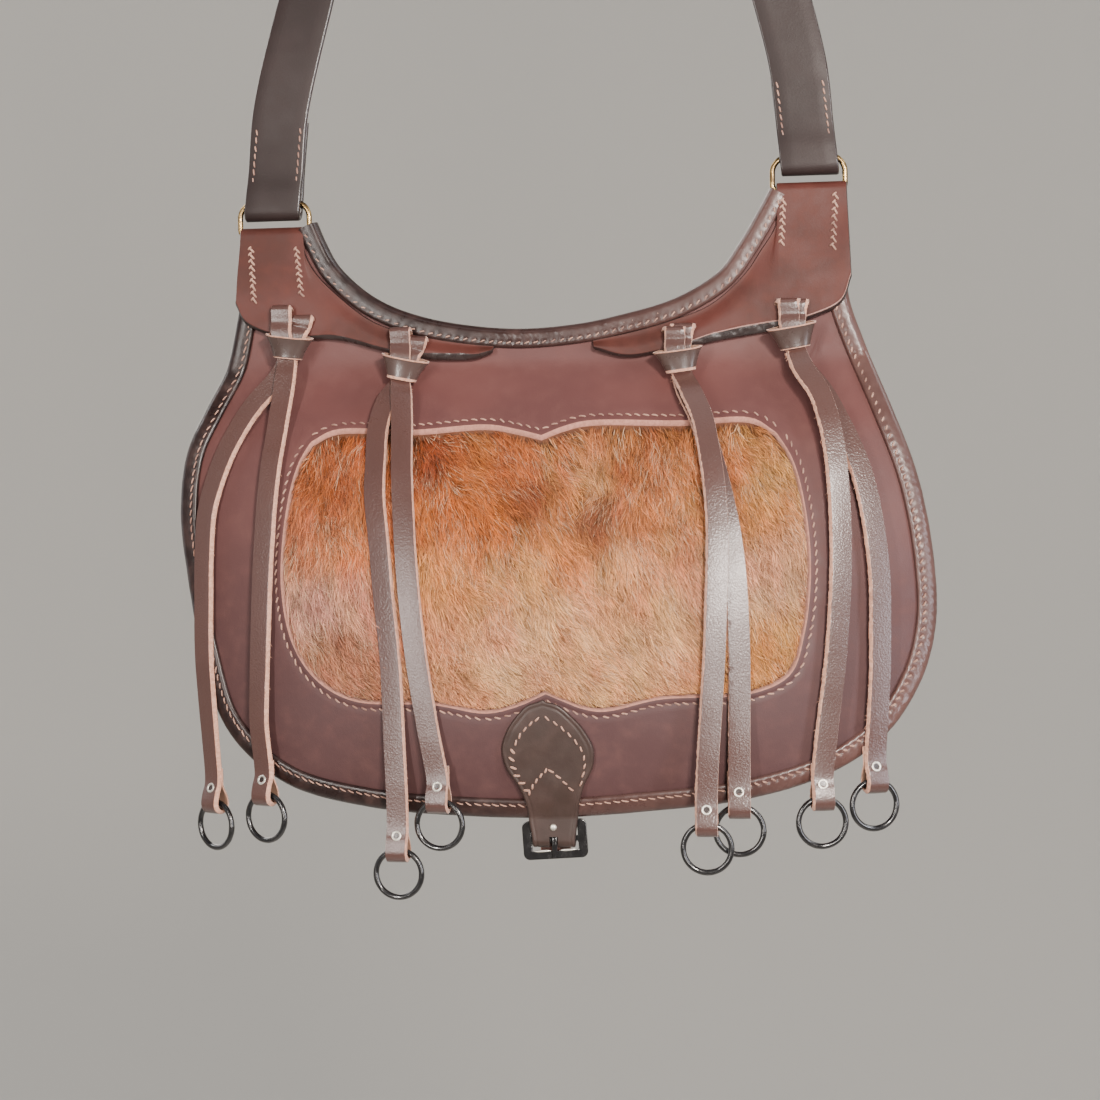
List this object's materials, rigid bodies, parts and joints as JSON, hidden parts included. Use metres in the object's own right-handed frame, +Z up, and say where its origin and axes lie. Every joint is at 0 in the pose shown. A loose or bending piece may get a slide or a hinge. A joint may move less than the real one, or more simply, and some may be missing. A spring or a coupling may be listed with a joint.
{
  "type": "hunting bag",
  "caption": "Leather hunting bag: pouch under a wide flap with a fur panel, leather hanger straps ending in rings, buckle tab and carrying strap.",
  "frame": {"origin": "on the underside of the carrying strap, at its highest point, where the bag hangs from a peg", "axes": "+Z up, the flap and its rings face -Y, +X to the right of someone facing the flap"},
  "size_m": [0.4083, 0.095, 0.8465],
  "materials": {
    "flap_leather": "reddish-brown smooth leather, waxed, worn lighter at folds",
    "body_leather": "brown smooth leather, matt",
    "binding_leather": "dark brown leather rolled over the edge, burnished",
    "strap_leather": "dark grey-brown bridle leather, polished, raw cut edges",
    "fur": "short russet hair on the hide",
    "black_metal": "black japanned steel, glossy",
    "nickel": "nickel plated",
    "brass": "aged brass, satin"
  },
  "bodies": {
    "bag": {"back_panel": "body_leather", "gusset": "body_leather", "front_panel": "body_leather", "billet": "body_leather", "flap": "flap_leather", "fur_panel": "fur", "flap_binding": "binding_leather", "neck_binding": "binding_leather", "yoke_left": "flap_leather", "link_left": "brass", "yoke_right": "flap_leather", "link_right": "brass", "shoulder_strap": "strap_leather", "cone_1": "strap_leather", "cone_2": "strap_leather", "cone_3": "strap_leather", "cone_4": "strap_leather", "hanger_1a": "strap_leather", "eyelet_1a": "nickel", "hanger_1b": "strap_leather", "eyelet_1b": "nickel", "hanger_2a": "strap_leather", "eyelet_2a": "nickel", "hanger_2b": "strap_leather", "eyelet_2b": "nickel", "hanger_3a": "strap_leather", "eyelet_3a": "nickel", "hanger_3b": "strap_leather", "eyelet_3b": "nickel", "hanger_4a": "strap_leather", "eyelet_4a": "nickel", "hanger_4b": "strap_leather", "eyelet_4b": "nickel", "tab": "flap_leather", "buckle_frame": "black_metal", "tab_rivet": "nickel"},
    "ring_1a": {"ring_1a": "black_metal"},
    "ring_1b": {"ring_1b": "black_metal"},
    "ring_2a": {"ring_2a": "black_metal"},
    "ring_2b": {"ring_2b": "black_metal"},
    "ring_3a": {"ring_3a": "black_metal"},
    "ring_3b": {"ring_3b": "black_metal"},
    "ring_4a": {"ring_4a": "black_metal"},
    "ring_4b": {"ring_4b": "black_metal"},
    "prong": {"buckle_prong": "black_metal"}
  },
  "joints": [
    {"name": "ring_1a_swing", "type": "hinge", "parent": "bag", "child": "ring_1a", "pos_m": [-0.18235, -0.04235, -0.7975], "axis": [-0.8148, 0.5797, 0], "range_deg": [-60, 120]},
    {"name": "ring_1b_swing", "type": "hinge", "parent": "bag", "child": "ring_1b", "pos_m": [-0.15091, -0.0563, -0.7915], "axis": [-0.9008, 0.4343, 0], "range_deg": [-60, 120]},
    {"name": "ring_2a_swing", "type": "hinge", "parent": "bag", "child": "ring_2a", "pos_m": [-0.07737, -0.06894, -0.8195], "axis": [-0.9941, 0.1089, 0], "range_deg": [-60, 120]},
    {"name": "ring_2b_swing", "type": "hinge", "parent": "bag", "child": "ring_2b", "pos_m": [-0.05489, -0.07101, -0.7935], "axis": [-0.9887, 0.15, 0], "range_deg": [-40, 120]},
    {"name": "ring_3a_swing", "type": "hinge", "parent": "bag", "child": "ring_3a", "pos_m": [0.08463, -0.07394, -0.8055], "axis": [-1, -0.0032, 0], "range_deg": [0, 120]},
    {"name": "ring_3b_swing", "type": "hinge", "parent": "bag", "child": "ring_3b", "pos_m": [0.10104, -0.06574, -0.7975], "axis": [-1, 0, 0], "range_deg": [-60, 0]},
    {"name": "ring_4a_swing", "type": "hinge", "parent": "bag", "child": "ring_4a", "pos_m": [0.14356, -0.05744, -0.7945], "axis": [-0.9803, -0.1977, 0], "range_deg": [-60, 120]},
    {"name": "ring_4b_swing", "type": "hinge", "parent": "bag", "child": "ring_4b", "pos_m": [0.17072, -0.04927, -0.7865], "axis": [-0.9319, -0.3626, 0], "range_deg": [-60, 120]},
    {"name": "prong_turn", "type": "hinge", "parent": "bag", "child": "prong", "pos_m": [0.0044, -0.05971, -0.8144], "axis": [-1, 0, 0], "range_deg": [0, 90]}
  ]
}
